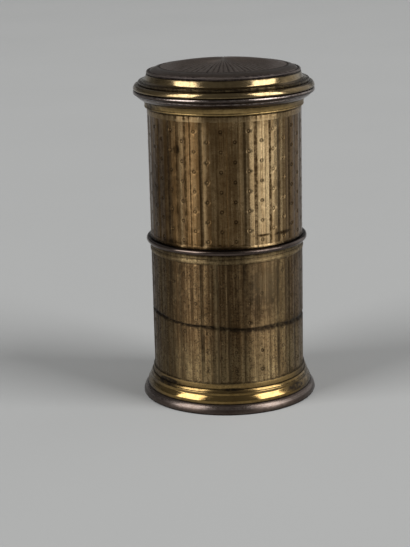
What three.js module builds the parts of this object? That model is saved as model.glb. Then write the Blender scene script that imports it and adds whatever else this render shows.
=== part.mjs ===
// Cylindrical silver-gilt etui: a footed lower box, an upper box that slides over its sleeve, and a plug lid.
// Millimetres, +Z up. Every piece is turned about the Z axis, and the foot stands on z = 0.
import * as THREE from "three";

// Sheet, sleeves and the fits between them.
const TUBE_RADIUS = 17;
const TUBE_WALL = 0.6;
const SLEEVE_WALL = 0.5;
const SLIDE_CLEARANCE = 0.08;
const SOLDER_FILM = 0.05;
const PARTING_GAP = 0.15;

// Foot. A swell is how far a moulding stands out from the tube.
const FOOT_RING_HEIGHT = 2.5;
const FOOT_RING_SWELL = 2.6;
const FOOT_RING_ROUND = 0.45;
const BASE_PLATE_THICKNESS = 0.8;
const BASE_PLATE_LIP = 0.9;
const FOOT_MOULDING_HEIGHT = 2.6;
const FOOT_MOULDING_SWELL = 2.1;
const FOOT_MOULDING_SHOULDER = 0.4;
const FOOT_MOULDING_ROUND = 0.4;
const FOOT_COLLAR_HEIGHT = 1.25;
const FOOT_COLLAR_SWELL = 0.35;
const FOOT_COLLAR_ROUND = 0.12;

// Lower box. The sleeve is soldered inside the tube and rises out of its mouth.
const LOWER_TUBE_LENGTH = 32.75;
const BEAD_HEIGHT = 1.1;
const BEAD_SWELL = 0.97;
const SLEEVE_REACH = 15.8;
const SLEEVE_RISE = 10;

// Upper box. Its floor clears the top of the sleeve.
const UPPER_TUBE_LENGTH = 30.35;
const UPPER_FLOOR_THICKNESS = 0.6;
const FLOOR_HEADROOM = 0.4;
const NECK_COLLAR_HEIGHT = 1.5;
const NECK_COLLAR_SWELL = 0.5;
const NECK_COLLAR_FLARE = 0.3;
const NECK_COLLAR_HOLLOW = 0.08;
const MOUTH_RING_HEIGHT = 2.25;
const MOUTH_RING_SWELL = 2.95;
const MOUTH_RING_UNDERSIDE = 0.85;
const MOUTH_RING_LIP = 0.5;
const MOUTH_RING_ROUND = 0.28;

// Lid. The domed disc lies on a ledge inside the rising border, and the bezel plugs into the upper box.
const LID_TORUS_HEIGHT = 1.1;
const LID_TORUS_SWELL = 3;
const LID_TORUS_ROUND = 0.2;
const LID_FILLET_HEIGHT = 0.55;
const LID_FILLET_SWELL = 1.7;
const LID_CAVETTO_HEIGHT = 1.5;
const LID_CAVETTO_SWELL = 1.4;
const LID_CAVETTO_NECK = 0.05;
const LID_CAVETTO_HOLLOW = 0.27;
const LID_BORDER_THICKNESS = 0.35;
const LID_BORDER_INSET = 0.25;
const LID_BORDER_WIDTH = 2.7;
const LID_BORDER_RISE = 0.9;
const LID_BORDER_ROUND = 0.12;
const LID_LEDGE_WIDTH = 0.8;
const LID_DISC_THICKNESS = 0.45;
const LID_DISC_RISE = 1.6;
const LID_BEZEL_REACH = 6;

// How finely the round shapes are cut.
const TURN_STEPS = 48;
const ARC_STEPS = 5;
const CAP_STEPS = 6;

const GILT = { color: 0x9c7c45, roughness: 0.35, metalness: 1 };
const WORN_SILVER = { color: 0x8f8580, roughness: 0.3, metalness: 1 };
const DULL_SILVER = { color: 0x6d635d, roughness: 0.45, metalness: 1 };

// Radii that the fits give.
const tubeBore = TUBE_RADIUS - TUBE_WALL;
const tubeSeat = TUBE_RADIUS + SOLDER_FILM;
const sleeveRadius = tubeBore - SLIDE_CLEARANCE;
const sleeveBore = sleeveRadius - SLEEVE_WALL;
const lidSeat = sleeveRadius + SOLDER_FILM;

// Heights, from the foot up.
const lowerTubeFoot = FOOT_RING_HEIGHT + SOLDER_FILM;
const footMouldingTop = lowerTubeFoot + FOOT_MOULDING_HEIGHT;
const footCollarFoot = footMouldingTop + SOLDER_FILM;
const beadFoot = lowerTubeFoot + LOWER_TUBE_LENGTH + SOLDER_FILM;
const beadTop = beadFoot + BEAD_HEIGHT;
const sleeveTop = beadTop + SLEEVE_RISE;
const upperTubeFoot = beadTop + PARTING_GAP;
const upperTubeTop = upperTubeFoot + UPPER_TUBE_LENGTH;
const upperFloorFoot = sleeveTop + FLOOR_HEADROOM;
const mouthRingFoot = upperTubeTop + SOLDER_FILM;
const mouthRingTop = mouthRingFoot + MOUTH_RING_HEIGHT;
const lidFoot = mouthRingTop + PARTING_GAP;
const lidTorusTop = lidFoot + LID_TORUS_HEIGHT;
const lidFilletFoot = lidTorusTop + SOLDER_FILM;
const lidFilletTop = lidFilletFoot + LID_FILLET_HEIGHT;
const lidCavettoFoot = lidFilletTop + SOLDER_FILM;
const lidCavettoTop = lidCavettoFoot + LID_CAVETTO_HEIGHT;
const lidBorderFoot = lidCavettoTop + SOLDER_FILM;

// Points of a circular arc from one [radius, height] to another. A positive sagitta bows it to the right
// of the way it runs, which is outwards on a profile that climbs the outside of a piece.
function arc(from, to, sagitta) {
  const [dr, dz] = [to[0] - from[0], to[1] - from[1]];
  const chord = Math.hypot(dr, dz);
  const radius = (chord ** 2 / 4 + sagitta ** 2) / (2 * Math.abs(sagitta));
  const half = Math.asin(Math.min(1, chord / (2 * radius)));
  const side = Math.sign(sagitta);
  return Array.from({ length: ARC_STEPS + 1 }, (_, i) => {
    const angle = half * ((2 * i) / ARC_STEPS - 1);
    const along = 0.5 + (radius * Math.sin(angle)) / chord;
    const out = (side * radius * (Math.cos(angle) - Math.cos(half))) / chord;
    return [from[0] + dr * along + dz * out, from[1] + dz * along - dr * out];
  });
}

// Points of a spherical cap from its edge to its pole on the axis.
function cap(edgeRadius, edgeHeight, poleHeight) {
  const rise = poleHeight - edgeHeight;
  const sphere = (edgeRadius ** 2 + rise ** 2) / (2 * rise);
  const opening = Math.asin(edgeRadius / sphere);
  return Array.from({ length: CAP_STEPS + 1 }, (_, i) => {
    const angle = opening * (1 - i / CAP_STEPS);
    return [sphere * Math.sin(angle), poleHeight - sphere * (1 - Math.cos(angle))];
  });
}

// A turned piece: its profile runs up the outside and is carried once round the axis.
function turned(name, profile, finish) {
  const points = profile.map(([r, z]) => new THREE.Vector2(r, z));
  const geometry = new THREE.LatheGeometry(points, TURN_STEPS).rotateX(Math.PI / 2);
  const mesh = new THREE.Mesh(geometry, new THREE.MeshStandardMaterial(finish));
  mesh.name = name;
  return mesh;
}

// A ring whose outside is a list of points from its foot to its top.
function ring(name, bore, outside, finish) {
  const foot = [bore, outside[0][1]];
  const top = [bore, outside.at(-1)[1]];
  return turned(name, [foot, ...outside, top, foot], finish);
}

// A straight tube.
function tube(name, bore, radius, foot, top, finish) {
  return ring(name, bore, [[radius, foot], [radius, top]], finish);
}

// A flat round plate.
function plate(name, radius, foot, thickness, finish) {
  const top = foot + thickness;
  return turned(name, [[0, foot], [radius, foot], [radius, top], [0, top]], finish);
}

// Half-round ring at the very bottom, let round the edge of the base plate.
function footRing() {
  const edge = TUBE_RADIUS + FOOT_RING_SWELL - FOOT_RING_ROUND;
  const bore = TUBE_RADIUS + BASE_PLATE_LIP + SOLDER_FILM;
  return ring("foot_ring", bore, arc([edge, 0], [edge, FOOT_RING_HEIGHT], FOOT_RING_ROUND), WORN_SILVER);
}

// Plate that closes the lower box, level with the top of the foot ring.
function basePlate() {
  const foot = FOOT_RING_HEIGHT - BASE_PLATE_THICKNESS;
  return plate("base_plate", TUBE_RADIUS + BASE_PLATE_LIP, foot, BASE_PLATE_THICKNESS, GILT);
}

// Quarter-round moulding that spreads the tube to the foot ring.
function footMoulding() {
  const toe = [TUBE_RADIUS + FOOT_MOULDING_SWELL, lowerTubeFoot];
  const shoulder = [TUBE_RADIUS + FOOT_MOULDING_SHOULDER, footMouldingTop];
  return ring("foot_moulding", tubeSeat, arc(toe, shoulder, FOOT_MOULDING_ROUND), GILT);
}

// Plain collar above the foot moulding.
function footCollar() {
  const edge = TUBE_RADIUS + FOOT_COLLAR_SWELL - FOOT_COLLAR_ROUND;
  const foot = [edge, footCollarFoot];
  const top = [edge, footCollarFoot + FOOT_COLLAR_HEIGHT];
  return ring("foot_collar", tubeSeat, arc(foot, top, FOOT_COLLAR_ROUND), GILT);
}

function lowerTube() {
  return tube("lower_tube", tubeBore, TUBE_RADIUS, lowerTubeFoot, lowerTubeFoot + LOWER_TUBE_LENGTH, GILT);
}

// Half-round bead round the mouth of the lower box.
function lowerMouthBead() {
  const edge = TUBE_RADIUS + BEAD_SWELL - BEAD_HEIGHT / 2;
  const outside = arc([edge, beadFoot], [edge, beadTop], BEAD_HEIGHT / 2);
  return ring("lower_mouth_bead", tubeBore, outside, WORN_SILVER);
}

function lowerSleeve() {
  return tube("lower_sleeve", sleeveBore, sleeveRadius, beadFoot - SLEEVE_REACH, sleeveTop, GILT);
}

function upperTube() {
  return tube("upper_tube", tubeBore, TUBE_RADIUS, upperTubeFoot, upperTubeTop, GILT);
}

function upperFloor() {
  return plate("upper_floor", tubeBore - SOLDER_FILM, upperFloorFoot, UPPER_FLOOR_THICKNESS, GILT);
}

// Collar under the mouth ring, hollowed a little as it flares.
function neckCollar() {
  const foot = [TUBE_RADIUS + NECK_COLLAR_SWELL, upperTubeTop - NECK_COLLAR_HEIGHT];
  const top = [foot[0] + NECK_COLLAR_FLARE, upperTubeTop];
  return ring("neck_collar", tubeSeat, arc(foot, top, -NECK_COLLAR_HOLLOW), GILT);
}

// Ring that the lid closes on, rounded underneath.
function upperMouthRing() {
  const underside = [TUBE_RADIUS + MOUTH_RING_UNDERSIDE, mouthRingFoot];
  const brow = [TUBE_RADIUS + MOUTH_RING_SWELL, mouthRingTop - MOUTH_RING_LIP];
  const lip = [TUBE_RADIUS + MOUTH_RING_SWELL, mouthRingTop];
  return ring("upper_mouth_ring", tubeBore, [...arc(underside, brow, MOUTH_RING_ROUND), lip], WORN_SILVER);
}

// Sleeve that carries the lid's mouldings outside and plugs into the upper box.
function lidBezel() {
  return tube("lid_bezel", sleeveBore, sleeveRadius, lidFoot - LID_BEZEL_REACH, lidCavettoTop, GILT);
}

function lidTorus() {
  const foot = [TUBE_RADIUS + LID_TORUS_SWELL, lidFoot];
  const top = [TUBE_RADIUS + LID_FILLET_SWELL, lidTorusTop];
  return ring("lid_torus", lidSeat, arc(foot, top, LID_TORUS_ROUND), GILT);
}

function lidFillet() {
  return tube("lid_fillet", lidSeat, TUBE_RADIUS + LID_FILLET_SWELL, lidFilletFoot, lidFilletTop, GILT);
}

// Hollow moulding that draws the lid in to its border.
function lidCavetto() {
  const foot = [TUBE_RADIUS + LID_CAVETTO_SWELL, lidCavettoFoot];
  const top = [TUBE_RADIUS - LID_CAVETTO_NECK, lidCavettoTop];
  return ring("lid_cavetto", lidSeat, arc(foot, top, -LID_CAVETTO_HOLLOW), GILT);
}

// The disc's upper edge is flush with the border's inner edge.
const borderRadius = TUBE_RADIUS - LID_BORDER_INSET;
const discSeat = borderRadius - LID_BORDER_WIDTH;
const ledgeBore = discSeat - LID_LEDGE_WIDTH;
const borderTop = lidBorderFoot + LID_BORDER_THICKNESS + LID_BORDER_RISE;
const ledgeTop = borderTop - LID_DISC_THICKNESS;

// Plain rounded border of the lid's top, with a ledge inside it for the disc.
function lidBorder() {
  const rim = [borderRadius, lidBorderFoot + LID_BORDER_THICKNESS];
  const slope = arc(rim, [discSeat, borderTop], LID_BORDER_ROUND);
  const outside = [[borderRadius, lidBorderFoot], ...slope, [discSeat, ledgeTop]];
  return ring("lid_border", ledgeBore, outside, DULL_SILVER);
}

// Domed disc of even sheet, with a flat seat round its underside.
function lidDisc() {
  const radius = discSeat - SOLDER_FILM;
  const seat = ledgeTop + SOLDER_FILM;
  const pole = borderTop + LID_DISC_RISE;
  const underside = cap(ledgeBore, seat, pole - LID_DISC_THICKNESS).reverse();
  const top = cap(radius, borderTop, pole);
  return turned("lid_disc", [...underside, [radius, seat], ...top], DULL_SILVER);
}

const lowerBox = new THREE.Group();
lowerBox.add(footRing(), basePlate(), footMoulding(), footCollar());
lowerBox.add(lowerTube(), lowerMouthBead(), lowerSleeve());

const upperBox = new THREE.Group();
upperBox.add(upperTube(), upperFloor(), neckCollar(), upperMouthRing());

const lid = new THREE.Group();
lid.add(lidBezel(), lidTorus(), lidFillet(), lidCavetto(), lidBorder(), lidDisc());

const etui = new THREE.Group();
etui.add(lowerBox, upperBox, lid);

export default etui;
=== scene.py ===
import bpy
import numpy as np
from mathutils import Matrix, Vector


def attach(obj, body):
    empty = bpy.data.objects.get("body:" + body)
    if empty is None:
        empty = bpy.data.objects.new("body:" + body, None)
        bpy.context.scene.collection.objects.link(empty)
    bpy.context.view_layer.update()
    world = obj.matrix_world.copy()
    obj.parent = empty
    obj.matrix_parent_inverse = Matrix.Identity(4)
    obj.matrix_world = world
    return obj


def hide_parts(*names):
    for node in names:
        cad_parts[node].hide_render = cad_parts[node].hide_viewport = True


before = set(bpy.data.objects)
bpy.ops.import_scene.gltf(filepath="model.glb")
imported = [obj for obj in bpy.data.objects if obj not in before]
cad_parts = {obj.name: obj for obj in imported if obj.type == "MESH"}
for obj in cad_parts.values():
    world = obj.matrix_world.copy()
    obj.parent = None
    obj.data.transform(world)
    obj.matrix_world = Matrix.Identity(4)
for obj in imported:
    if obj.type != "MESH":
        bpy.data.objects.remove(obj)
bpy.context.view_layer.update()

# Camera: a long lens a third of a metre away, a little above the lid and looking down on it.
# The case leans about a degree to the side in the picture.
camera_place = Vector((0.0, -0.3228, 0.11279))
look_down, look_left, lean = np.radians([14.881, 0.8975, 1.3586])
forward = np.array([-np.sin(look_left) * np.cos(look_down),
                    np.cos(look_left) * np.cos(look_down),
                    -np.sin(look_down)])
level = np.array([np.cos(look_left), np.sin(look_left), 0.0])
upright = np.cross(level, forward)
across = np.cos(lean) * level - np.sin(lean) * upright
above = np.sin(lean) * level + np.cos(lean) * upright
camera = bpy.data.objects.new("camera", bpy.data.cameras.new("camera"))
camera.data.lens = 97.09
camera.data.sensor_width = 36.0
camera.matrix_world = Matrix.Translation(camera_place) @ Matrix(
    np.column_stack([across, above, -forward]).tolist()).to_4x4()
bpy.context.scene.collection.objects.link(camera)
bpy.context.scene.camera = camera
bpy.context.scene.view_settings.view_transform = "Standard"

# Studio light: two soft panels that stand upright in front of the case, one on each side, each
# with a dimmer and wider strip below it, and a faint white card behind on the right. The room
# round them is dim, so the metal shows the panels, the floor and little else.
panel_distance = 5.2


def soft_panel(name, inner, outer, low, high, glow):
    """Stands a panel between two angles round from the camera's side and two angles above the
    floor, facing the case. Its power is glow times pi times its area, so that its face shines
    as bright as glow."""
    light = bpy.data.lights.new(name, "AREA")
    light.shape = "RECTANGLE"
    turn, half = np.radians([(inner + outer) / 2, abs(outer - inner) / 2])
    bottom, top = panel_distance * np.tan(np.radians([low, high]))
    light.size = 2 * panel_distance * np.tan(half)
    light.size_y = top - bottom
    light.energy = glow * np.pi * light.size * light.size_y
    stood = bpy.data.objects.new(name, light)
    away = Vector((np.sin(turn), -np.cos(turn), 0.0))
    facing = (-away).to_track_quat("-Z", "Y").to_matrix().to_4x4()
    middle = panel_distance * away + Vector((0, 0, (bottom + top) / 2))
    stood.matrix_world = Matrix.Translation(middle) @ facing
    bpy.context.scene.collection.objects.link(stood)


soft_panel("right_panel", inner=46.0, outer=83.5, low=15.0, high=60.0, glow=6.8)
soft_panel("left_panel", inner=-42.5, outer=-79.0, low=15.0, high=60.0, glow=5.9)
soft_panel("right_strip", inner=38.0, outer=88.0, low=4.0, high=14.5, glow=2.2)
soft_panel("left_strip", inner=-36.0, outer=-86.0, low=4.0, high=14.5, glow=1.3)
soft_panel("right_card", inner=96.0, outer=150.0, low=2.0, high=45.0, glow=0.6)
room_grey = (0.15, 0.15, 0.15, 1)
room = bpy.data.worlds.new("dark_room")
room.use_nodes = True
room.node_tree.nodes["Background"].inputs["Color"].default_value = room_grey
bpy.context.scene.world = room

# Floor: a wide sheet of pale grey paper that curves up into a low wall all round.
# The case stands on it loose.
paper_grey = (0.393, 0.397, 0.394, 1)
floor_radius, cove_radius, wall_height, floor_depth = 5.0, 0.6, 1.6, 0.2


def node(tree, kind, inputs, **settings):
    """Adds one shader node; each input is a plain value or the socket that feeds it."""
    made = tree.nodes.new("ShaderNode" + kind)
    for key, value in settings.items():
        setattr(made, key, value)
    for key, value in inputs.items():
        if isinstance(value, bpy.types.NodeSocket):
            tree.links.new(value, made.inputs[key])
        else:
            made.inputs[key].default_value = value
    return made


def noise(tree, place, scale, detail, roughness):
    """Cloudy value between 0 and 1 that changes from place to place."""
    return node(tree, "TexNoise", {"Vector": place, "Scale": scale, "Detail": detail,
                                   "Roughness": roughness}).outputs["Fac"]


def remap(tree, value, low, high, start, end):
    """Goes from start to end as the value goes from low to high, and no further."""
    return node(tree, "MapRange", {0: value, 1: low, 2: high, 3: start, 4: end}).outputs[0]


def wrapped(name, radius, height, angle, marks=None):
    """Closed surface about the upright axis, from grids in millimetres: point (i, j) stands at
    x = r sin a, y = -r cos a, z = h. Columns run round the turn and close on themselves. Rows
    run along the profile and close too, unless the first and last lie on the axis as poles.
    The UV map measures millimetres round the turn and along the profile."""
    rows, turns = radius.shape
    points = np.stack([radius * np.sin(angle), -radius * np.cos(angle), height], -1) / 1000
    poles = bool(np.all(radius[0] == 0))
    index = np.arange(rows * turns).reshape(rows, turns)
    if poles:
        index[0] = 0
        index[1:-1] = np.arange(1, 1 + (rows - 2) * turns).reshape(rows - 2, turns)
        index[-1] = 1 + (rows - 2) * turns
        points = np.concatenate([points[0, :1], points[1:-1].reshape(-1, 3), points[-1, :1]])
    i, j = np.meshgrid(np.arange(rows - poles), np.arange(turns), indexing="ij")
    up, on = i + 1, j + 1
    corner_i, corner_j = np.stack([i, i, up, up], -1), np.stack([j, on, on, j], -1)
    faces = index[corner_i % rows, corner_j % turns].reshape(-1, 4)
    steps = np.hypot(np.diff(radius, axis=0, append=radius[:1]),
                     np.diff(height, axis=0, append=height[:1])).mean(1)
    along = np.concatenate([[0], np.cumsum(steps)])
    round_the_turn = np.linspace(0, 2 * np.pi * radius.max(), turns + 1)
    uv = np.stack([round_the_turn[corner_j], along[corner_i]], -1).reshape(-1, 4, 2)
    keep = np.ones(faces.shape, bool)
    if poles:
        keep[:turns, 1] = False
        keep[-turns:, 3] = False
    mesh = bpy.data.meshes.new(name)
    mesh.vertices.add(points.size // 3)
    mesh.vertices.foreach_set("co", points.ravel())
    mesh.loops.add(int(keep.sum()))
    mesh.loops.foreach_set("vertex_index", faces[keep])
    mesh.polygons.add(len(faces))
    sizes = keep.sum(1)
    mesh.polygons.foreach_set("loop_start", np.concatenate([[0], np.cumsum(sizes)[:-1]]))
    mesh.polygons.foreach_set("use_smooth", np.ones(len(faces), bool))
    mesh.uv_layers.new(name="turning").data.foreach_set("uv", uv[keep].ravel())
    for mark, value in (marks or {}).items():
        if poles:
            value = np.concatenate([value[0, :1], value[1:-1].ravel(), value[-1, :1]])
        mesh.attributes.new(mark, "FLOAT", "POINT").data.foreach_set("value", value.ravel())
    mesh.update(calc_edges=True)
    mesh.validate()
    made = bpy.data.objects.new(name, mesh)
    bpy.context.scene.collection.objects.link(made)
    return made


lay = np.concatenate([[0], np.geomspace(60, 1000 * floor_radius, 24)])
bend = np.linspace(0, np.pi / 2, 13)[1:]
floor_r = np.concatenate([lay, 1000 * (floor_radius + cove_radius * np.sin(bend)),
                          [1000 * (floor_radius + cove_radius)] * 2, [0]])
floor_z = np.concatenate([0 * lay, 1000 * cove_radius * (1 - np.cos(bend)),
                          [1000 * wall_height], [-1000 * floor_depth] * 2])
floor_turn = np.linspace(0, 2 * np.pi, 96, endpoint=False)
floor = wrapped("paper_floor", floor_r[::-1, None] + 0 * floor_turn,
                floor_z[::-1, None] + 0 * floor_turn, floor_turn[None] + 0 * floor_r[:, None])
paper = bpy.data.materials.new("pale_paper")
paper.use_nodes = True
tree = paper.node_tree
paper_shader = tree.nodes["Principled BSDF"]
paper_shader.inputs["Roughness"].default_value = 0.9
paper_shader.inputs["Specular IOR Level"].default_value = 0.1
spot = node(tree, "TexCoord", {}).outputs["Object"]
pulp = noise(tree, spot, scale=9.0, detail=4.0, roughness=0.5)
shade = remap(tree, pulp, 0.0, 1.0, 0.97, 1.03)
tint = node(tree, "Mix", {0: 1.0, 6: paper_grey, 7: shade}, data_type="RGBA",
            blend_type="MULTIPLY").outputs[2]
tree.links.new(tint, paper_shader.inputs["Base Color"])
floor.data.materials.append(paper)

# Foot ring: a silver ring, rounded outside, that the whole case stands on. It is soldered to the
# base plate. Its gilding has rubbed off, and it is tarnished and a little dented. Painted shade
# darkens a band low on its side and its bottom edge, where it meets the floor.
tube_radius = 17.0
silver_bright, silver_dull = (0.13, 0.1, 0.084, 1), (0.066, 0.048, 0.039, 1)
# Dark colour for dirt and painted shade; rubbed colour for bare metal and painted sheen.
silver_dirt_and_shade, silver_rubbed_and_sheen = (0.013, 0.010, 0.010, 1), (0.34, 0.29, 0.265, 1)


def bowed(start, end, rise, count=14):
    """Points (radius, height) of a circular arc from start to end that stands rise off its
    chord, on the right of the way it runs: outwards where it climbs, hollow for a minus."""
    start, end = np.array(start, float), np.array(end, float)
    half = np.hypot(*(end - start)) / 2
    along = (end - start) / (2 * half)
    side = np.array([along[1], -along[0]])
    bulge = abs(rise)
    radius = (half ** 2 + bulge ** 2) / (2 * bulge)
    swing = np.linspace(-1, 1, count) * 2 * np.arctan2(bulge, half)
    off = np.sign(rise) * (radius * np.cos(swing) - radius + bulge)
    return (start + end) / 2 + np.outer(radius * np.sin(swing), along) + np.outer(off, side)


def eased(loop, cut, steps=4, closed=True):
    """Outline with each sharp corner replaced by a small curve that starts and ends cut
    millimetres away from it: corner + (1-t)^2 * arm back + t^2 * arm on. One that isn't closed
    keeps its two ends."""
    sharp_from, most_of_a_side = np.radians(28), 0.45
    back = np.roll(loop, 1, 0) - loop
    on = np.roll(loop, -1, 0) - loop
    back_length, on_length = np.hypot(*back.T), np.hypot(*on.T)
    bending = np.sum(-back * on, 1) / (back_length * on_length)
    reach = np.minimum(cut, most_of_a_side * np.minimum(back_length, on_length))
    sharp = bending < np.cos(sharp_from)
    if not closed:
        sharp[[0, -1]] = False
    reach = np.where(sharp, reach, 0)[:, None]
    t = np.linspace(0, 1, steps)
    curve = (loop[:, None] + (1 - t[:, None]) ** 2 * (reach * back / back_length[:, None])[:, None]
             + t[:, None] ** 2 * (reach * on / on_length[:, None])[:, None])
    keep = sharp[:, None] | (np.arange(steps) == 0)
    return curve[keep]


def dents(angle, height, seed, most=27):
    """Gentle unevenness between -1 and 1: the mean of sines with whole numbers of waves round
    the turn, slanted and shifted by random amounts."""
    draw, count = np.random.default_rng(seed), 16
    waves = draw.integers(2, most, count)
    slant, shift = draw.uniform(-0.8, 0.8, count), draw.uniform(0, 2 * np.pi, count)
    return np.sin(angle[..., None] * waves + height[..., None] * slant + shift).mean(-1)


def nearness(radius, height, places, reach):
    """Falls from 1 at the given (radius, height) places of a profile to 0 a few reaches off, as
    exp of minus the square of the distance over the reach."""
    gap = [np.hypot(radius - r, height - z) for r, z in places]
    return np.exp(-(np.min(gap, 0) / reach) ** 2) if places else 0 * radius


def blotch(angle, height, turn, level, wide, tall):
    """Soft spot on the outside, 1 in its middle, at an angle in degrees and a height: exp of minus
    the squares of the distances sideways and upwards, over its width and its tallness."""
    sideways = tube_radius * ((angle - np.radians(turn) + np.pi) % (2 * np.pi) - np.pi)
    return np.exp(-(sideways / wide) ** 2 - ((height - level) / tall) ** 2)


def blotches(angle, height, spots):
    """One soft spot for each (strength, turn, level, wide, tall) in the list."""
    return [strength * blotch(angle, height, *spot) for strength, *spot in spots]


def turned(name, loop, dirt_at=(), rub_at=(), uneven=0.0, seed=1, turns=240, reach=0.3,
           rubbing=0.6, painted_side_shade=0.0, stains=()):
    """Surface of revolution: the outline's points are carried round the axis, with the outside
    pushed in and out by gentle dents. Near the places given on the outline it is darkened, by
    dirt and by painted shade in the corners, and its gilding rubs. Painted shade darkens the
    sides away from the front, and the stains darken it too, each a (strength, turn, level,
    wide, tall) spot."""
    side_starts, side_fades = 0.8, 0.35
    angle = np.linspace(0, 2 * np.pi, turns, endpoint=False)[None] + 0 * loop[:, :1]
    radius, height = loop[:, :1] + 0 * angle, loop[:, 1:] + 0 * angle
    inside, outside = loop[:, 0].min(), loop[:, 0].max()
    proud = np.clip((radius - inside) / (outside - inside), 0, 1)
    dirt_and_shade = nearness(radius, height, dirt_at, reach)
    # Painted shade: the sides, away from the camera's front, are darkened.
    from_front = np.abs((angle + np.pi) % (2 * np.pi) - np.pi)
    sides = np.clip((from_front - side_starts) / side_fades, 0, 1)
    spots = blotches(angle, height, stains)
    dirt_and_shade = np.clip(np.maximum.reduce([dirt_and_shade, painted_side_shade * sides] + spots), 0, 1)
    marks = {"dirt_and_shade": dirt_and_shade,
             "rub_and_sheen": rubbing * nearness(radius, height, rub_at, 0.7 * reach)}
    radius = radius + uneven * proud * dents(angle, height, seed) * (radius > 0)
    return wrapped(name, radius, height, angle, marks)


def mixed(tree, amount, first, second):
    """Colour that goes from first to second as amount goes from 0 to 1."""
    return node(tree, "Mix", {0: amount, 6: first, 7: second}, data_type="RGBA").outputs[2]


def scaled(tree, place, scale):
    """Place with each of its three directions stretched by its own scale."""
    return node(tree, "Mapping", {"Vector": place, "Scale": scale}).outputs[0]


def maths(tree, operation, *values, clamp=False):
    """One sum on up to three values, held between 0 and 1 if clamped."""
    return node(tree, "Math", dict(enumerate(values)), operation=operation,
                use_clamp=clamp).outputs[0]


def metal(name, bright, dull, dirt, rubbed, rough, streak=0.4, brushed=0.0, pitted=0.5,
          speckled=0.0, drawn=0.0, grit=0.0, fresh=None):
    """Old plated metal: tarnish in broad clouds and fine mottling from bright to dull, dirt and
    painted shade in the hollows and corners, pits and specks, fresh gilding where it is best
    preserved and as painted highlights, bare metal on rubbed edges and as a painted sheen, and
    fine turning lines round the piece. The dirt colour serves for the painted shade too, and the
    rubbed colour for the painted sheen. Brushed metal spreads its highlights upright, across the
    turning lines; drawn metal has faint upright streaks, and gritty metal a corroded skin."""
    made = bpy.data.materials.new(name)
    made.use_nodes = True
    tree = made.node_tree
    shader = tree.nodes["Principled BSDF"]
    shader.inputs["Metallic"].default_value = 1.0
    shader.inputs["Anisotropic"].default_value = brushed
    shader.inputs["Anisotropic Rotation"].default_value = 0.25
    place = node(tree, "TexCoord", {}).outputs["Object"]
    in_mm = scaled(tree, place, (1000, 1000, 1000))
    round_it = scaled(tree, place, (700, 700, 6500))
    up_it = scaled(tree, place, (1900, 1900, 45))
    cloud = noise(tree, in_mm, scale=0.17, detail=5.0, roughness=0.62)
    mottle = noise(tree, in_mm, scale=1.1, detail=7.0, roughness=0.7)
    grains = noise(tree, in_mm, scale=2.3, detail=3.0, roughness=0.75)
    lines = noise(tree, round_it, scale=1.0, detail=4.0, roughness=0.6)
    streaks = noise(tree, up_it, scale=1.0, detail=3.0, roughness=0.7)
    holes = node(tree, "TexVoronoi", {"Vector": in_mm, "Scale": 0.75}).outputs["Distance"]
    dirt_and_shade, rub_and_sheen, kept_and_highlit = [node(tree, "Attribute", {}, attribute_name=mark).outputs["Fac"]
                        for mark in ("dirt_and_shade", "rub_and_sheen", "kept_and_highlit")]

    aged = remap(tree, cloud, 0.36, 0.66, 0.0, 0.6)
    patchy = remap(tree, mottle, 0.38, 0.66, 0.0, 0.4 + 0.5 * speckled)
    scored = remap(tree, lines, 0.35, 0.65, 0.0, 0.25 * streak)
    drawing = remap(tree, streaks, 0.42, 0.59, -0.45 * drawn, 0.6 * drawn)
    dullness = maths(tree, "ADD", maths(tree, "ADD", aged, patchy),
                     maths(tree, "ADD", scored, drawing), clamp=True)
    pit = remap(tree, holes, 0.06, 0.17, pitted, 0.0)
    speck = remap(tree, grains, 0.48, 0.63, 0.0, speckled)
    holed = maths(tree, "MAXIMUM", pit, speck)
    # Dirt and painted shade together, mottled.
    settled_dirt_and_shade = maths(tree, "MULTIPLY", dirt_and_shade, remap(tree, mottle, 0.3, 0.6, 0.55, 1.1))
    soil_and_shade = maths(tree, "MAXIMUM", settled_dirt_and_shade, holed, clamp=True)
    worn_through = remap(tree, mottle, 0.38, 0.56, 0.0, 1.0)
    # Rubbed bare metal, and on the lid disc a painted sheen.
    bare = maths(tree, "MULTIPLY", rub_and_sheen, worn_through, clamp=True)
    whole = remap(tree, dullness, 0.0, 1.0, 1.0, 0.4)
    # Fresh gilding, also used as a painted highlight.
    gilding = maths(tree, "MULTIPLY", kept_and_highlit, whole, clamp=True)

    skin = mixed(tree, gilding, mixed(tree, dullness, bright, dull), fresh or bright)
    shown = mixed(tree, bare, mixed(tree, soil_and_shade, skin, dirt), rubbed)
    haze = remap(tree, dullness, 0.0, 1.0, rough - 0.04, rough + 0.09)
    roughness = maths(tree, "MULTIPLY_ADD", soil_and_shade, 0.25, haze)
    grain = maths(tree, "MULTIPLY_ADD", lines, streak, cloud)
    sunk = maths(tree, "SUBTRACT", grain, holed)
    ridged = maths(tree, "MULTIPLY_ADD", streaks, 5.0 * drawn, sunk)
    rugged = maths(tree, "MULTIPLY_ADD", mottle, grit, ridged)
    bump = node(tree, "Bump", {"Strength": 0.5, "Distance": 8e-6, "Height": rugged}).outputs[0]
    turning = node(tree, "Tangent", {}, direction_type="UV_MAP", uv_map="turning").outputs[0]
    for source, socket in ((shown, "Base Color"), (roughness, "Roughness"), (bump, "Normal"),
                           (turning, "Tangent")):
        tree.links.new(source, shader.inputs[socket])
    return made


foot_outline = np.concatenate([[[17.95, 0.0], [19.53, 0.0], [19.6, 0.14]],
                               bowed((19.6, 0.24), (18.64, 2.1), 0.25, 22),
                               [[18.4, 2.14], [18.28, 2.14], [18.28, 2.5], [17.95, 2.5]]])
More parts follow.
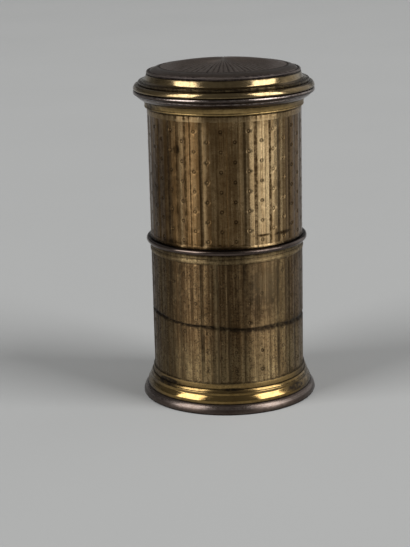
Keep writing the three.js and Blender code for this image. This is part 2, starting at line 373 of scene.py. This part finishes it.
# Painted shade: the bottom edge and a band low on the side are darkened.
foot_ring = turned("silver_foot_ring", eased(foot_outline, 0.1), uneven=0.05, seed=11,
                   dirt_at=[(18.55, 2.13), (19.53, 0.0), (19.57, 0.1)],
                   rub_at=[(19.3, 1.3), (19.1, 1.6)], reach=0.2, rubbing=0.3,
                   stains=[(0.3, 0.0, 1.0, 90.0, 0.4)])
foot_ring.data.materials.append(metal("foot_ring_silver", silver_bright, silver_dull,
                                      silver_dirt_and_shade, silver_rubbed_and_sheen, 0.25, grit=4.0))
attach(foot_ring, "lower_box")
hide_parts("foot_ring")

# Base plate: a flat round of gilt silver sheet that closes the lower box, let into the foot ring.
# It is trimmed on the lathe, which leaves fine circles on both faces.
gilt_bright, gilt_dull = (0.36, 0.245, 0.095, 1), (0.20, 0.127, 0.046, 1)
# Dark colour for dirt and painted shade; rubbed colour for bare metal and painted highlights.
gilt_dirt_and_shade, gilt_rubbed_and_sheen = (0.02, 0.014, 0.009, 1), (0.36, 0.265, 0.14, 1)


def lathe_circles(start, end, height, depth, count):
    """Points of a trimmed flat face from one radius to another, its height rippled in circles:
    height less depth times a cosine wave between 0 and 1 along the radius."""
    ripples = 5.0
    radius = np.linspace(start, end, count)
    return np.stack([radius, height - depth * (0.5 + 0.5 * np.cos(radius * ripples))], -1)


plate_outline = np.concatenate([[[0.0, 1.7], [17.9, 1.7], [17.9, 2.5]],
                                lathe_circles(17.6, 0.6, 2.5, 0.02, 90), [[0.0, 2.49]]])
base_plate = turned("gilt_base_plate", eased(plate_outline, 0.1, closed=False), turns=144,
                    dirt_at=[(17.0, 2.5)], reach=0.9)
base_plate.data.materials.append(metal("base_plate_gilt", gilt_bright, gilt_dull, gilt_dirt_and_shade,
                                       gilt_rubbed_and_sheen, 0.3))
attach(base_plate, "lower_box")
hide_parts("base_plate")

# Foot moulding and collar: a sloping moulding of drawn gilt wire, whose plain lower edge stands in
# front of the foot ring's top, with a groove and a bevel along its upper edge, and above it a
# plain low band. Both are soldered to the wall, and black solder shows between them. Painted
# shade darkens both towards their sides, away from the front.
collar_bright, collar_dull = (0.38, 0.255, 0.1, 1), (0.22, 0.142, 0.054, 1)
moulding_outline = np.concatenate([[[17.05, 2.55], [18.34, 2.55], [18.34, 2.2], [18.56, 2.2]],
                                   bowed((18.6, 2.24), (18.57, 2.86), 0.01, 5),
                                   bowed((18.53, 2.95), (17.98, 3.85), 0.03, 12),
                                   bowed((17.95, 3.92), (17.86, 4.5), 0.01, 5),
                                   [[17.72, 4.6], [17.77, 4.7]],
                                   bowed((17.75, 4.75), (17.48, 5.14), 0.01, 5), [[17.05, 5.15]]])
# Painted shade towards the sides, and in the corners together with dirt.
foot_moulding = turned("gilt_foot_moulding", eased(moulding_outline, 0.06), uneven=0.03, seed=12,
                       dirt_at=[(18.56, 2.2), (17.73, 4.6), (17.4, 5.15)], reach=0.13,
                       painted_side_shade=0.62,
                       stains=[(2.6, 54.0, 3.4, 2.6, 0.6), (1.5, 3.0, 5.05, 2.6, 0.2),
                               (2.2, -53.0, 4.9, 3.0, 0.4), (0.7, 52.0, 4.4, 4.5, 0.6),
                               (0.45, 0.0, 4.95, 60.0, 0.25)])
collar_outline = np.concatenate([[[17.05, 5.2]], bowed((17.34, 5.2), (17.2, 6.45), 0.05, 12),
                                 [[17.05, 6.45]]])
foot_collar = turned("gilt_foot_collar", eased(collar_outline, 0.06), uneven=0.03, seed=13,
                     dirt_at=[(17.34, 5.2), (17.2, 6.45)], rub_at=[(17.25, 6.2)], reach=0.2,
                     rubbing=0.2, painted_side_shade=0.8,
                     stains=[(1.6, 3.0, 5.3, 2.6, 0.22), (2.2, -51.0, 5.5, 3.2, 0.6)])
moulding_gilt = metal("moulding_gilt", gilt_bright, gilt_dull, gilt_dirt_and_shade, gilt_rubbed_and_sheen, 0.075,
                      speckled=0.25, grit=0.7)
collar_gilt = metal("collar_gilt", collar_bright, collar_dull, gilt_dirt_and_shade, gilt_rubbed_and_sheen, 0.22,
                    speckled=0.3, grit=4.0)
for piece, solid, finish in ((foot_moulding, "foot_moulding", moulding_gilt),
                             (foot_collar, "foot_collar", collar_gilt)):
    piece.data.materials.append(finish)
    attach(piece, "lower_box")
    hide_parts(solid)

# Lower tube: gilt silver sheet rolled into a tube and cut on an engine-turning lathe with upright
# ribs, grooves and staggered rows of punched rings. The wall has cracked right round, low down,
# and the ornament is worn faint.
tube_bore = 16.4
worn_bright, worn_dull = (0.222, 0.147, 0.071, 1), (0.117, 0.070, 0.031, 1)
worn_fresh = (0.265, 0.194, 0.096, 1)
flute_pairs = 18
pair_turn = 2 * np.pi / flute_pairs
row_pitch = 4.3
flute_turn = np.radians([-2.1, 0.4, 3.9, 4.5, 6.5, 12.6, 15.9, 17.9])
flute_depth = np.array([0.06, 0.02, 0.055, 0.12, 0.12, 0.0, 0.10, 0.06])
groove_turn = np.radians([-2.1, -1.6, -0.2, 0.2, 3.7, 4.2, 6.5, 7.0, 9.6,
                          12.3, 12.6, 13.2, 13.6, 15.9, 16.4, 17.9])
# Darkness of each groove: dirt, and on the upper tube painted shade as well.
groove_dirt_and_shade = np.array([1.2, 0.3, 0.2, 0, 0, 1.0, 0.95, 0, 0, 0, 0.55, 0.5, 0, 0, 1.3, 1.2])
ring_radius = np.array([0.0, 0.16, 0.32, 0.46, 0.58])
ring_depth = np.array([0.0, 0.02, 0.11, -0.02, 0.0])
ring_dirt_radius, ring_dirt = [0.0, 0.16, 0.3, 0.36, 0.48], [0, 0.2, 1, 1, 0]
ring_lines = np.array([-0.46, -0.32, -0.16, 0.0, 0.16, 0.32, 0.46])
ring_margin, end_slope, edge_round = 0.45, 0.12, 0.12
finest_turn, finest_rise = np.radians(0.12), 0.025
band_foot, band_swell, band_top = 33.2, 33.72, 34.4
swell_half, swell_rise = 0.42, 0.16
crack_level, crack_slant, crack_sag = 18.75, 0.95, 0.4


def engine_turned(angle, height, rows, start, low, high):
    """Depth of cut at an angle and height, and how far it lies in a groove or a ring. Across one
    pair of panels the cut follows the flute outline, between the two ends of the ornament. Each
    punched ring adds a round groove with a raised lip, on rows that differ on alternate panels."""
    across = (angle - start - flute_turn[0]) % pair_turn + flute_turn[0]
    ends = (np.clip((height - low) / end_slope, 0, 1)
            * np.clip((high - height) / end_slope, 0, 1))
    cut = np.interp(across, flute_turn, flute_depth)
    groove = np.interp(across, groove_turn, groove_dirt_and_shade)
    ring = 0 * cut
    for middle, first in zip((0.0, pair_turn / 2), rows):
        sideways = tube_radius * ((across - middle + pair_turn / 2) % pair_turn - pair_turn / 2)
        upward = (height - first + row_pitch / 2) % row_pitch - row_pitch / 2
        row = height - upward
        inside = (row > low + ring_margin) & (row < high - ring_margin)
        off = np.hypot(sideways, upward)
        cut = cut + inside * np.interp(off, ring_radius, ring_depth)
        ring = np.maximum(ring, inside * np.interp(off, ring_dirt_radius, ring_dirt))
    return cut * ends, groove * ends, ring * ends


def engine_turned_tube(name, foot, mouth, low, high, rows, start, extra_rows, extra_columns,
                       shape):
    """Tube whose outside is the radius less the engine-turned cut, with both edges rounded over.
    Grid lines stand close together at the edges of ribs and at the punched rings. The shape
    function changes the cut and gives the marks for this tube's own bands, cracks and wear."""
    near_ring = ring_lines / tube_radius
    columns = np.sort(np.concatenate([flute_turn[:-1], groove_turn[1:-1], near_ring,
                                      near_ring + pair_turn / 2]))
    columns = columns[np.diff(columns, prepend=-1) > finest_turn]
    angle = (start + columns[None] + pair_turn * np.arange(flute_pairs)[:, None]).ravel()
    angle = np.sort(np.append(angle, np.radians(extra_columns) % (2 * np.pi)))
    middles = np.concatenate([first + row_pitch * np.arange(-8, 9) for first in rows])
    middles = middles[(middles > low + ring_margin) & (middles < high - ring_margin)]
    gaps = np.sort(middles)
    at_edge, at_end = np.array([0.0, 0.03, 0.1, 0.2]), np.array([-0.06, 0.0, 0.06, 0.12])
    outer = np.sort(np.concatenate([
        foot + at_edge, mouth - at_edge, low + at_end, high - at_end,
        (middles[:, None] + ring_lines).ravel(), (gaps[1:] + gaps[:-1]) / 2, extra_rows]))
    outer = outer[np.diff(outer, prepend=-1) > finest_rise]
    angle, level = angle[None] + 0 * outer[:, None], outer[:, None] + 0 * angle[None]
    cut, groove, ring = engine_turned(angle, level, rows, start, low, high)
    edge = np.minimum(level - foot, mouth - level)
    cut, hollow, rub_and_sheen, kept_and_highlit = shape(angle, level, cut, groove, ring)
    cut = cut + edge_round * (1 - np.clip(edge / edge_round, 0, 1)) ** 2
    bore = np.array([mouth, mouth - 0.1, foot + 0.1, foot])[:, None] + 0 * angle[:1]
    bore_radius = np.array([tube_bore + 0.1, tube_bore, tube_bore, tube_bore + 0.1])[:, None]
    radius = np.concatenate([tube_radius - cut, bore_radius + 0 * bore])
    marks = {"dirt_and_shade": np.concatenate([hollow, 0 * bore]), "rub_and_sheen": np.concatenate([rub_and_sheen, 0 * bore]),
             "kept_and_highlit": np.concatenate([kept_and_highlit, 0 * bore])}
    return wrapped(name, radius, np.concatenate([level, bore]),
                   np.concatenate([angle, 0 * bore + angle[:1]]), marks)


def turned_groove(height, middle, width, depth):
    """Depth of a round-bottomed groove cut round the tube at one height, or strength of a mark
    there: depth times exp of minus the square of the distance over the width."""
    return depth * np.exp(-((height - middle) / width) ** 2)


def lower_wear(angle, level, cut, groove, ring):
    """Lower tube's own shape: a plain band with a swelling between two grooves, ornament rubbed
    shallow in broad patches, and a crack. With s the sine of the angle, the crack runs at its
    level - slant s + sag s^2 with a little waver. Dirt fills the hollows and lies in upright
    stains, and the gilding is best preserved low down and at the sides."""
    worn = np.clip(0.65 + 1.0 * dents(angle, 0.6 * level, 22), 0.3, 1.0)
    cut = cut * worn + 0.03 * dents(2 * angle, 1.5 * level, 23)
    cut = (cut + turned_groove(level, band_top, 0.09, 0.12)
           + turned_groove(level, band_foot, 0.08, 0.08))
    swelling = np.sqrt(np.clip(1 - ((level - band_swell) / swell_half) ** 2, 0, 1))
    cut = cut - swell_rise * swelling

    turn, still = np.sin(angle), 0 * angle
    crack_height = (crack_level - crack_slant * turn + crack_sag * turn ** 2
                    + 0.5 * dents(angle, still, 21, 9))
    crack_width = 1.1 + 0.25 * turn + 0.9 * dents(angle, still, 24, 12)
    opening = np.abs(level - crack_height) / crack_width
    cut = cut + np.interp(opening, [0, 0.14, 0.3, 0.45, 0.7], [0.30, 0.26, 0.07, -0.02, 0.0])
    crack = np.interp(opening, [0, 0.26, 0.6, 1.2], [1.0, 0.95, 0.35, 0.0])

    seam = turned_groove(level, band_top, 0.13, 0.8) + turned_groove(level, 35.2, 0.16, 0.9)
    patches = np.clip(0.5 + 2 * dents(3 * angle, still, 25), 0, 1)
    broken = turned_groove(level, band_foot, 0.14, 1.0) * patches
    foot_dirt = turned_groove(level, 6.5, 0.3, 0.7)
    stains = blotches(angle, level, [
        (0.38, -43.0, 20.0, 4.0, 60.0), (0.6, -38.5, 20.0, 0.9, 60.0),
        (0.35, -12.6, 20.0, 0.45, 60.0), (0.3, -5.5, 20.0, 0.5, 60.0),
        (0.35, -32.0, 14.0, 1.6, 20.0), (0.4, 12.0, 28.0, 1.8, 9.0),
        (0.85, 21.0, 27.0, 3.0, 8.0), (0.8, 33.0, 27.0, 3.0, 8.0),
        (0.45, 48.0, 27.0, 1.8, 8.0), (0.25, 24.0, 12.0, 3.0, 9.0)])
    hollow = np.maximum.reduce([0.7 * groove * worn, ring * worn, crack, seam, broken,
                                foot_dirt] + stains)
    rub_and_sheen = np.maximum.reduce([turned_groove(level, 33.85, 0.16, 0.5)] + blotches(angle, level, [
        (0.7, -8.9, 20.0, 0.3, 40.0), (0.35, -1.2, 20.0, 0.3, 40.0),
        (0.2, 30.0, 28.5, 3.4, 4.0)]))
    low_down = 0.9 * np.clip((17.0 - level) / 7, 0, 1) * np.clip(level - 5.5, 0, 1)
    on_band = 1.2 * np.clip((level - 33.25) / 0.15, 0, 1)
    kept_and_highlit = np.maximum.reduce([low_down, on_band] + blotches(angle, level, [
        (0.8, 41.0, 20.0, 3.0, 40.0), (1.2, 55.0, 11.0, 5.0, 8.0),
        (0.7, -57.0, 22.0, 4.0, 40.0)]))
    return cut, np.clip(hollow, 0, 1), rub_and_sheen, kept_and_highlit


lower_tube = engine_turned_tube(
    "engine_turned_lower_tube", foot=2.55, mouth=35.3, low=6.6, high=band_foot,
    rows=(24.35, 26.4), start=np.radians(-4.5),
    extra_rows=np.concatenate([np.arange(17.4, 20.9, 0.13), band_top + np.linspace(-0.2, 0.2, 7),
                               band_swell + np.linspace(-swell_half, swell_half, 11)]),
    extra_columns=[-9.8, -9.3, -8.9, -8.5, -8.0, -2.0, -1.6, -1.2, -0.8], shape=lower_wear)
lower_tube.data.materials.append(metal("lower_tube_gilt", worn_bright, worn_dull, gilt_dirt_and_shade,
                                       gilt_rubbed_and_sheen, 0.45, streak=1.0, brushed=0.9, pitted=0.8,
                                       speckled=0.65, drawn=1.0, grit=12.0, fresh=worn_fresh))
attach(lower_tube, "lower_box")
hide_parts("lower_tube")

# Bead at the lower mouth: half-round silver wire soldered round the lower box's mouth, where the
# upper box comes down on it. Handling has rubbed it bare and left small dents.
bead_outline = np.concatenate([[[16.4, 35.35]], bowed((17.42, 35.35), (17.42, 36.45), 0.549, 22),
                               [[16.4, 36.45]]])
mouth_bead = turned("silver_mouth_bead", eased(bead_outline, 0.06), uneven=0.06, seed=14,
                    dirt_at=[(17.42, 35.35), (17.42, 36.45)], reach=0.24,
                    stains=[(0.5, 30.0, 36.2, 7.0, 1.0)])
mouth_bead.data.materials.append(metal("bead_silver", silver_bright, silver_dull, silver_dirt_and_shade,
                                       silver_rubbed_and_sheen, 0.15))
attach(mouth_bead, "lower_box")
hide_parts("lower_mouth_bead")

# Lower sleeve: the inner tube that stands up out of the lower box and guides the upper box.
# It is soldered inside the lower tube, and sliding has scored and polished its outside.
sleeve_outline = np.array([[15.82, 19.55], [16.32, 19.55], [16.32, 36.8], [16.32, 46.0],
                           [16.32, 46.45], [15.82, 46.45]])
lower_sleeve = turned("gilt_lower_sleeve", eased(sleeve_outline, 0.12), turns=192,
                      rub_at=[(16.3, 46.4)], dirt_at=[(16.32, 36.6)], reach=0.6)
lower_sleeve.data.materials.append(metal("sleeve_gilt", gilt_bright, gilt_dull, gilt_dirt_and_shade,
                                         gilt_rubbed_and_sheen, 0.24, streak=0.8, brushed=0.3))
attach(lower_sleeve, "lower_box")
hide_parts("lower_sleeve")

# Upper tube: the wall of the upper box, gilt silver engine-turned like the lower one and better
# preserved. Its raised lower edge slides down over the sleeve to the bead, and is nicked.
# Painted shade darkens the band above that edge, least on the right, and fresh gilding on the
# right side and in a few thin upright lines is a painted highlight.
tube_bright, tube_dull = (0.22, 0.14, 0.064, 1), (0.138, 0.079, 0.031, 1)
# Dark colour for dirt and painted shade; fresh colour for gilding and painted highlights.
tube_dirt_and_shade, tube_fresh_and_highlit = (0.036, 0.0205, 0.008, 1), (0.41, 0.3, 0.16, 1)
upper_foot = 36.6
pit_turn, pit_level = -37.8, 58.0


def upper_wear(angle, level, cut, groove, ring):
    """Upper tube's own shape: a groove under the collar, shallow dents, a raised lower edge with
    nicks, and one small pit. The grooves are darkened by dirt and by painted shade, least at the
    front and most where the lamps' highlights fall. Darker upright stripes and spots lie over
    the wall, and painted shade darkens the band above the lower edge, least on the right. Fresh
    gilding on the right and in a few thin upright lines is a painted highlight, and so is the
    paler right end of the lower lip."""
    cut = cut * np.clip(0.95 + 0.3 * dents(angle, 0.5 * level, 31), 0.6, 1.0)
    cut = cut + 0.02 * dents(2 * angle, 1.2 * level, 32) + turned_groove(level, 65.2, 0.1, 0.14)
    nicks = np.clip(2.5 * dents(5 * angle, 0 * angle, 33), -0.5, 1)
    cut = cut + 0.1 * np.clip(nicks, 0, 1) * turned_groove(level, upper_foot, 0.25, 1.0)
    cut = cut - turned_groove(level, 36.82, 0.2, 0.17)
    cut = cut + 0.09 * blotch(angle, level, pit_turn, pit_level, 0.5, 0.6)

    on_band = 0.7 * np.clip((level - 64.05) / 0.15, 0, 1)
    # Painted highlight: fresh gilding where the right lamp's highlight falls, and in thin lines.
    kept_and_highlit = np.maximum.reduce([on_band] + blotches(angle, level, [
        (1.3, 29.0, 51.0, 5.2, 22.0), (0.7, -15.2, 51.0, 0.6, 40.0),
        (0.5, -33.8, 51.0, 0.6, 40.0), (0.3, -8.0, 51.0, 0.9, 40.0),
        (0.4, 13.4, 51.0, 0.5, 40.0), (1.3, 45.2, 51.0, 0.25, 40.0)]))
    # Painted shade in the grooves: weakest at the front, strongest where the highlights fall.
    painted_groove_fade = (1 - 0.85 * blotch(angle, level, 2.0, 51.0, 4.8, 60.0)
               - 0.4 * blotch(angle, level, 42.0, 51.0, 0.7, 60.0))
    upper_groove_dirt_and_shade = groove * painted_groove_fade * np.clip(0.5 + 0.65 * kept_and_highlit, 0, 1.4)
    # Painted shade on the band above the lower edge, least on the right.
    painted_edge_shade = np.clip(1.2 - 1.3 * kept_and_highlit, 0, 1) * np.clip(1.6 - 2 * (level - upper_foot), 0, 1)
    uneven_line = 37.42 - 0.25 * np.sin(angle) + 0.12 * nicks
    ragged = (turned_groove(level, uneven_line, 0.17, 1.0)
              * np.clip(0.55 + 0.6 * nicks - 0.4 * np.sin(angle), 0, 1))
    seam = turned_groove(level, 65.25, 0.16, 1.0)
    band_dirt = turned_groove(level, 64.75, 0.35, 0.15)
    stains = blotches(angle, level, [
        (4.5, pit_turn, pit_level, 0.6, 0.75), (1.8, 27.0, 39.25, 1.9, 0.24),
        (2.4, 47.0, 39.1, 2.2, 0.3), (1.1, -30.2, 51.0, 0.45, 40.0),
        (0.9, -38.1, 51.0, 0.55, 40.0), (1.0, -26.2, 51.0, 0.26, 40.0),
        (1.0, 23.2, 51.0, 0.25, 40.0), (0.55, 27.0, 51.0, 0.4, 40.0),
        (0.42, -27.0, 51.0, 1.2, 40.0), (0.4, -12.8, 51.0, 0.7, 40.0),
        (0.6, 35.1, 51.0, 0.22, 40.0), (0.5, -55.0, 50.0, 3.0, 14.0),
        (0.9, -46.0, 37.5, 5.0, 0.8), (0.6, -48.5, 42.6, 0.9, 1.0),
        (0.6, -62.0, 46.0, 4.5, 11.0)])
    hollow = np.maximum.reduce([upper_groove_dirt_and_shade, ring, seam, painted_edge_shade, ragged, band_dirt] + stains)
    # The lower lip is paler on the right: a painted highlight.
    rub_and_sheen = (turned_groove(level, 64.1, 0.1, 0.5)
           + turned_groove(level, 37.1, 0.08, 0.7) * np.clip(kept_and_highlit + 0.15, 0, 1))
    return cut, np.clip(hollow, 0, 1), rub_and_sheen, np.clip(kept_and_highlit, 0, 1.3)


upper_tube = engine_turned_tube(
    "engine_turned_upper_tube", foot=upper_foot, mouth=66.95, low=37.1, high=64.0,
    rows=(62.02, 59.8), start=np.radians(-3.0),
    extra_rows=np.concatenate([65.25 + np.linspace(-0.25, 0.25, 7),
                               37.45 + np.linspace(-0.25, 0.4, 6),
                               39.3 + np.linspace(-0.36, 0.36, 7),
                               pit_level + np.linspace(-1.2, 1.2, 13),
                               [36.86, 36.92, 36.98, 64.12, 64.6]]),
    extra_columns=np.concatenate([np.arange(-40.5, -34.5, 0.6), np.arange(-31.9, -25.0, 0.4),
                                  [22.6, 23.0, 23.4, 23.8, 26.2, 26.6, 27.0, 34.7, 35.1, 35.5],
                                  [44.2, 44.8, 45.2, 45.6, 46.2]]),
    shape=upper_wear)
upper_tube.data.materials.append(metal("upper_tube_gilt", tube_bright, tube_dull, tube_dirt_and_shade,
                                       gilt_rubbed_and_sheen, 0.28, streak=1.0, brushed=1.0, pitted=0.35,
                                       speckled=0.3, drawn=0.8, grit=2.0, fresh=tube_fresh_and_highlit))
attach(upper_tube, "upper_box")
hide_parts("upper_tube")

# Upper floor: a round of gilt sheet soldered across the upper tube, just above the sleeve's rim.
# It carries the same lathe circles as the base plate.
floor_outline = np.concatenate([[[0.0, 46.85], [16.35, 46.85], [16.35, 47.45]],
                                lathe_circles(16.1, 0.6, 47.45, 0.02, 80), [[0.0, 47.44]]])
upper_floor = turned("gilt_upper_floor", eased(floor_outline, 0.08, closed=False), turns=144,
                     dirt_at=[(16.3, 47.45)], reach=0.8)
upper_floor.data.materials.append(metal("upper_floor_gilt", gilt_bright, gilt_dull, gilt_dirt_and_shade,
                                        gilt_rubbed_and_sheen, 0.3))
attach(upper_floor, "upper_box")
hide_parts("upper_floor")

# Neck collar: a plain gilt band that flares a little under the mouth ring, soldered to the wall.
# Painted shade darkens its upper part under the mouth ring and its sides, and dirt and painted
# shade sit in the corners above and below it.
neck_bright, neck_dull = (0.43, 0.3, 0.125, 1), (0.27, 0.18, 0.07, 1)
neck_outline = np.concatenate([[[17.05, 65.45]], bowed((17.42, 65.45), (17.42, 65.8), 0.08, 8),
                               bowed((17.45, 65.86), (17.85, 66.95), -0.12), [[17.05, 66.95]]])
# Painted shade: the upper part, under the overhanging mouth ring, and the sides are darkened.
neck_collar = turned("gilt_neck_collar", eased(neck_outline, 0.07), uneven=0.03, seed=15,
                     dirt_at=[(17.42, 65.42), (17.43, 65.84), (17.85, 66.95)], reach=0.1,
                     painted_side_shade=0.6,
                     stains=[(1.0, -66.0, 66.3, 5.0, 2.0), (0.45, 0.0, 66.7, 80.0, 0.5)])
neck_collar.data.materials.append(metal("neck_gilt", neck_bright, neck_dull, gilt_dirt_and_shade,
                                        gilt_rubbed_and_sheen, 0.28))
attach(neck_collar, "upper_box")
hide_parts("neck_collar")

# Mouth ring: a stout silver moulding round the upper box's mouth, soldered to the wall. It slopes
# out to a fine ridge and a rounded lip that the lid closes on, and its edges are rubbed white.
mouth_outline = np.concatenate([[[16.4, 67.0]], bowed((17.85, 67.0), (19.1, 67.85), 0.12, 10),
                                [[19.2, 67.88], [19.3, 68.0], [19.26, 68.1]],
                                bowed((19.32, 68.14), (19.85, 68.44), 0.04, 6),
                                bowed((19.88, 68.5), (19.72, 69.14), 0.12, 12), [[16.4, 69.14]]])
mouth_ring = turned("silver_mouth_ring", eased(mouth_outline, 0.1), uneven=0.04, seed=16,
                    dirt_at=[(17.85, 67.0), (19.28, 68.13), (19.87, 68.47), (19.5, 69.14)],
                    rub_at=[(19.9, 68.94), (19.28, 67.96)], reach=0.18, rubbing=0.9)
mouth_ring.data.materials.append(metal("mouth_silver", silver_bright, silver_dull, silver_dirt_and_shade,
                                       silver_rubbed_and_sheen, 0.17))
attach(mouth_ring, "upper_box")
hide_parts("upper_mouth_ring")

# Lid bezel: the short sleeve under the lid that plugs into the upper tube and holds by friction.
# It is soldered inside the lid's mouldings and polished by sliding.
bezel_outline = np.array([[15.82, 63.4], [16.32, 63.4], [16.32, 64.2], [16.32, 69.3],
                          [16.32, 72.65], [15.82, 72.65]])
lid_bezel = turned("gilt_lid_bezel", eased(bezel_outline, 0.12), turns=192,
                   rub_at=[(16.3, 63.5)], dirt_at=[(16.32, 69.3)], reach=0.5)
lid_bezel.data.materials.append(metal("bezel_gilt", gilt_bright, gilt_dull, gilt_dirt_and_shade,
                                      gilt_rubbed_and_sheen, 0.24, streak=0.8, brushed=0.3))
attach(lid_bezel, "lid")
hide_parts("lid_bezel")

# Lid mouldings: a round moulding at the lid's edge, a small square step, and a hollow moulding
# that draws in to the top, turned in gilt silver and soldered one on another. Dirt and painted
# shade blacken every corner between them, and painted shade darkens the round and the hollow
# moulding towards their sides.
lid_bright, lid_dull = (0.345, 0.255, 0.13, 1), (0.19, 0.136, 0.07, 1)
torus_outline = np.concatenate([[[16.37, 69.24], [19.6, 69.24]],
                                bowed((19.78, 69.36), (19.86, 69.7), 0.05, 6),
                                bowed((19.84, 69.75), (19.51, 70.31), 0.035, 10),
                                bowed((19.43, 70.38), (18.75, 70.5), 0.03, 6), [[16.37, 70.5]]])
# Painted shade in the corners and towards the sides.
lid_torus = turned("gilt_lid_torus", eased(torus_outline, 0.12), uneven=0.04, seed=17,
                   dirt_at=[(18.7, 70.5), (19.7, 69.3)], reach=0.22, painted_side_shade=0.45)
step_outline = np.array([[16.37, 70.55], [18.7, 70.55], [18.7, 71.1], [16.37, 71.1]])
lid_fillet = turned("gilt_lid_fillet", eased(step_outline, 0.1), uneven=0.04, seed=18,
                    dirt_at=[(18.7, 70.55), (18.7, 71.0), (18.4, 71.1)], reach=0.26)
hollow_outline = np.concatenate([[[16.37, 71.15]], bowed((18.4, 71.15), (17.38, 71.42), -0.08, 8),
                                 bowed((17.32, 71.48), (16.92, 72.65), -0.012, 12),
                                 [[16.37, 72.65]]])
lid_cavetto = turned("gilt_lid_cavetto", eased(hollow_outline, 0.06), uneven=0.03, seed=19,
                     dirt_at=[(18.4, 71.15), (16.92, 72.65)], reach=0.2, painted_side_shade=0.35)
lid_gilt = metal("lid_gilt", lid_bright, lid_dull, gilt_dirt_and_shade, gilt_rubbed_and_sheen, 0.1, speckled=0.3,
                 grit=1.2)
for piece, solid in ((lid_torus, "lid_torus"), (lid_fillet, "lid_fillet"),
                     (lid_cavetto, "lid_cavetto")):
    piece.data.materials.append(lid_gilt)
    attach(piece, "lid")
    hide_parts(solid)

# Lid border and disc: a border of dull silver with a rounded lip, a groove and a sloping ledge,
# and a low domed disc soldered into it, engine-turned with a sunburst of fine rays. Both are grey
# with tarnish. Painted shade darkens the border's lip at the front and where the lamps'
# highlights fall on it, and a painted sheen makes the disc paler at its sides and a little
# towards the back.
border_bright, border_dull = (0.21, 0.168, 0.142, 1), (0.115, 0.088, 0.073, 1)
disc_bright, disc_dull = (0.28, 0.226, 0.19, 1), (0.155, 0.12, 0.1, 1)
border_outline = np.concatenate([[[13.25, 72.7], [16.85, 72.7], [16.88, 73.04], [16.78, 73.24],
                                  [16.58, 73.3], [16.46, 73.12], [16.16, 73.14], [16.06, 73.38]],
                                 bowed((15.96, 73.42), (14.05, 74.06), 0.12, 12),
                                 [[14.05, 73.5], [13.25, 73.5]]])
# Painted shade: the stains dim the lip where the lamps' highlights fall, and at the front.
lid_border = turned("silver_lid_border", eased(border_outline, 0.05), uneven=0.03, seed=20,
                    dirt_at=[(14.1, 74.02), (16.85, 72.7), (16.46, 73.14), (16.31, 73.13),
                             (16.16, 73.16)],
                    rub_at=[(16.8, 73.22)], reach=0.16, rubbing=0.3,
                    stains=[(1.3, -29.0, 73.1, 9.0, 0.4), (1.5, 30.0, 73.1, 10.0, 0.44),
                            (0.4, 0.0, 73.1, 20.0, 0.3)])
rays, steps_per_ray, ray_depth = 72, 10, 0.13
disc_turn = np.linspace(0, 2 * np.pi, rays * steps_per_ray, endpoint=False)[None]
disc_radius, disc_edge, disc_top, disc_seat = 14.0, 74.06, 75.36, 73.55
hollow_radius, disc_thickness = 13.25, 0.45


def dome(radius, edge_radius, edge, top):
    """Height of a shallow spherical cap that passes through its edge and its top."""
    rise = top - edge
    sphere = (edge_radius ** 2 + rise ** 2) / (2 * rise)
    return top - sphere + np.sqrt(sphere ** 2 - radius ** 2)


def sunburst(radius, angle):
    """Depth of the rays cut into the disc, and how much soot lies in them. Each ray is one cosine
    wave round the turn. The rays fade in from the middle and out at the rim, a slower wave makes
    them deeper and shallower by turns, and the soot differs by chance from ray to ray."""
    spread = np.clip((radius - 0.3) / 4.0, 0, 1) * np.clip((disc_radius - radius) / 0.5, 0, 1)
    beat = 0.5 + 0.5 * np.cos(rays * angle)
    wave = 0.75 + 0.25 * np.cos(2.1 * radius + rays / 2 * angle)
    soot = np.repeat(np.random.default_rng(41).uniform(0.45, 1.0, rays), steps_per_ray)[None]
    return (ray_depth * spread * beat * wave,
            np.roll(soot, steps_per_ray // 2) * beat ** 2 * spread)


under_r = np.array([0.0, 4.0, 8.0, 11.0, hollow_radius, disc_radius - 0.05])
under_z = np.append(dome(under_r[:-1], hollow_radius, disc_seat, disc_top - disc_thickness),
                    disc_seat)
over_r = np.concatenate([[disc_radius, disc_radius - 0.04, disc_radius - 0.15],
                         np.linspace(disc_radius - 0.4, 0.35, 34), [0.0]])
over_z = dome(over_r, disc_radius, disc_edge, disc_top)
over_z[0] -= 0.06
burst, in_rays = sunburst(over_r[:, None], disc_turn)
disc_r = np.concatenate([under_r, over_r])[:, None] + 0 * disc_turn
disc_z = np.concatenate([under_z[:, None] + 0 * disc_turn, over_z[:, None] - burst])
clean_under = 0 * under_r[:, None] + 0 * disc_turn
rim_dirt = np.exp(-((disc_radius - over_r[:, None]) / 0.3) ** 2)
disc_grime = np.concatenate([clean_under, np.maximum(in_rays, 0.9 * rim_dirt)])
sideways = over_r[:, None] * np.abs(np.sin(disc_turn))
backwards = -over_r[:, None] * np.cos(disc_turn)
# Painted sheen: the disc is made paler at its left and right sides and a little towards the back.
painted_side_sheen = 0.95 * np.clip((sideways - 9.0) / 3.5, 0, 1) + 0.3 * np.clip(backwards / 9.0, 0, 1)
disc_painted_sheen = np.concatenate([clean_under, painted_side_sheen * (1 - rim_dirt)])
lid_disc = wrapped("sunburst_lid_disc", disc_r, disc_z, disc_turn + 0 * disc_r,
                   {"dirt_and_shade": disc_grime, "rub_and_sheen": disc_painted_sheen})
lid_border.data.materials.append(metal("border_silver", border_bright, border_dull, silver_dirt_and_shade,
                                       silver_rubbed_and_sheen, 0.3, streak=0.2, grit=1.5))
lid_disc.data.materials.append(metal("disc_silver", disc_bright, disc_dull, silver_dirt_and_shade,
                                     silver_rubbed_and_sheen, 0.35, streak=0.2, grit=1.5))
for piece, solid in ((lid_border, "lid_border"), (lid_disc, "lid_disc")):
    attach(piece, "lid")
    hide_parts(solid)
